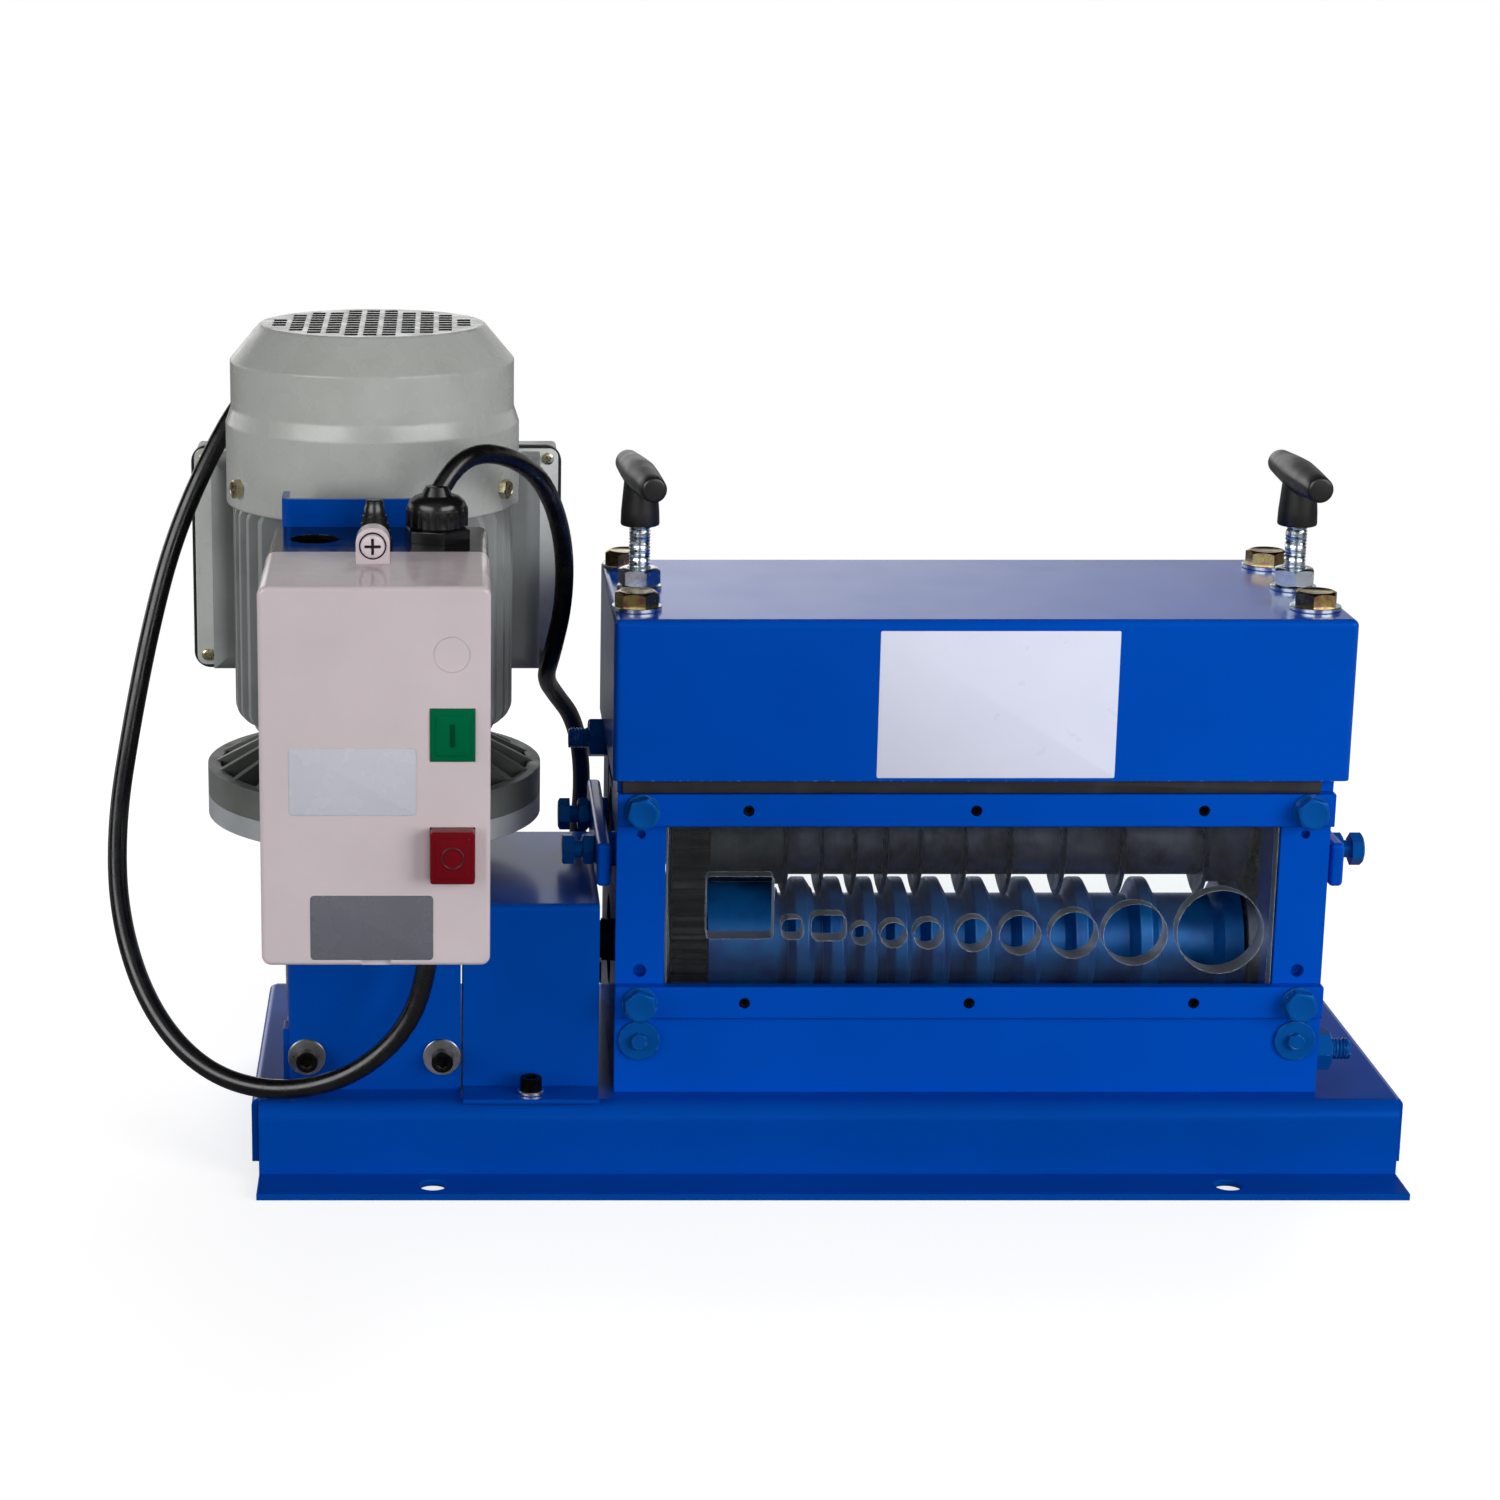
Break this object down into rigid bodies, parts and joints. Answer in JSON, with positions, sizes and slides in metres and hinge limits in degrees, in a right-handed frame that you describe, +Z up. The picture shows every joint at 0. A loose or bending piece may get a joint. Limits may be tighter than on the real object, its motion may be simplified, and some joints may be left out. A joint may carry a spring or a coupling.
{
  "type": "electric wire stripping machine",
  "caption": "Bench wire stripper: a motor and worm reducer turn a grooved feed roller under disc blades, behind a clear plate with feed holes; screws set the blade height.",
  "frame": {"origin": "centre of the four foot holes, on the floor", "axes": "+X along the rollers away from the motor, +Y to the back, +Z up; wire is fed from -Y"},
  "size_m": [0.5896, 0.4614, 0.3731],
  "materials": {
    "blue_paint": "glossy deep blue enamel",
    "blue_bolt_paint": "blue enamel over hexagon heads",
    "bright_steel": "turned steel, lightly oiled",
    "blade_steel": "ground hardened steel",
    "dark_steel": "dark oiled steel",
    "zinc": "bright zinc plate",
    "yellow_zinc": "yellow passivated zinc plate",
    "black_oxide": "black oxide",
    "clear_sheet": "clear acrylic",
    "grey_paint": "satin grey paint",
    "grey_casting": "painted aluminium casting",
    "dark_casting": "painted iron casting",
    "grey_moulding": "grey moulding",
    "dark_sheet": "dark grey sheet with a rubber edge",
    "lid_moulding": "pale warm grey moulding",
    "black_moulding": "black moulding",
    "green_button": "green moulding",
    "red_button": "dark red moulding",
    "black_rubber": "black rubber",
    "bronze": "cast bronze",
    "lamination": "stacked steel laminations with copper coils"
  },
  "bodies": {
    "frame": {"base_channel": "blue_paint", "left_side_plate": "blue_paint", "right_side_plate": "blue_paint", "lower_front_bar": "blue_paint", "upper_front_bar": "blue_paint", "front_apron": "blue_paint", "m8_bolts": "blue_bolt_paint", "tie_rods": "zinc", "hood": "blue_paint", "hood_bolts": "yellow_zinc", "plated_nuts_and_washers": "zinc", "feed_plate": "clear_sheet", "socket_screws": "black_oxide", "feed_bearings": "zinc", "bearing_caps": "dark_steel", "block_keeper_bars": "blue_paint", "block_springs": "dark_steel", "reducer_seat": "blue_paint", "reducer_housing": "dark_casting", "motor_bearings": "zinc", "drive_cover": "blue_paint", "motor_flange": "grey_casting", "motor_frame": "grey_casting", "fan_cowl": "grey_paint", "zinc_screws": "yellow_zinc", "rear_box": "grey_moulding", "rear_plate": "dark_sheet", "rear_lid": "grey_moulding", "run_capacitor": "grey_casting", "stator": "lamination", "starter_bracket": "blue_paint", "starter_base": "black_moulding", "starter_lid": "lid_moulding", "contactor": "black_moulding", "cable_glands": "black_moulding", "motor_lead": "black_rubber", "mains_lead": "black_rubber", "mains_coil": "black_rubber", "mains_plug": "black_rubber"},
    "carriage": {"bearing_blocks": "dark_steel", "cutter_bearings": "zinc"},
    "cutter": {"cutter_shaft": "bright_steel", "cutter_blades": "blade_steel", "blade_spacers": "bright_steel", "knurled_drum": "dark_steel", "cutter_gear": "bright_steel", "cutter_inner_rings": "zinc"},
    "feed": {"feed_shaft": "bright_steel", "grooved_roller": "bright_steel", "feed_gear": "bright_steel", "feed_inner_rings": "zinc", "worm_wheel": "bronze"},
    "motor": {"rotor": "lamination", "fan": "black_moulding"},
    "left_screw": {"left_press_screw": "bright_steel", "left_tee_handle": "black_moulding"},
    "right_screw": {"right_press_screw": "bright_steel", "right_tee_handle": "black_moulding"},
    "start": {"start_button": "green_button"},
    "stop": {"stop_button": "red_button"}
  },
  "joints": [
    {"name": "feed_roller_spin", "type": "hinge", "parent": "frame", "child": "feed", "pos_m": [0.06, -0.008, 0.088], "axis": [1, 0, 0], "continuous": true},
    {"name": "cutter_height", "type": "slide", "parent": "frame", "child": "carriage", "axis": [0, 0, 1], "range_m": [0, 0.005], "deforming": ["block_springs"]},
    {"name": "cutter_spin", "type": "hinge", "parent": "carriage", "child": "cutter", "pos_m": [0.06, -0.008, 0.1406], "axis": [1, 0, 0], "continuous": true},
    {"name": "motor_spin", "type": "hinge", "parent": "frame", "child": "motor", "pos_m": [-0.206, 0.022, 0.24], "axis": [0, 0, 1], "continuous": true},
    {"name": "left_screw_turn", "type": "hinge", "parent": "carriage", "child": "left_screw", "pos_m": [-0.084, -0.008, 0.25], "axis": [0, 0, 1], "range_deg": [0, 1200]},
    {"name": "right_screw_turn", "type": "hinge", "parent": "carriage", "child": "right_screw", "pos_m": [0.2145, -0.008, 0.25], "axis": [0, 0, 1], "range_deg": [0, 1200]},
    {"name": "start_press", "type": "slide", "parent": "frame", "child": "start", "axis": [0, 1, 0], "range_m": [0, 0.003], "stiffness_N_per_m": 600, "springref_m": -0.001},
    {"name": "stop_press", "type": "slide", "parent": "frame", "child": "stop", "axis": [0, 1, 0], "range_m": [0, 0.005], "stiffness_N_per_m": 600, "springref_m": -0.001}
  ],
  "couplings": [
    {"joint": "cutter_spin", "follows": "feed_roller_spin", "ratio": -1},
    {"joint": "motor_spin", "follows": "feed_roller_spin", "ratio": 30},
    {"joint": "left_screw_turn", "follows": "cutter_height", "rad_per_m": 4188.8},
    {"joint": "right_screw_turn", "follows": "cutter_height", "rad_per_m": 4188.8}
  ]
}
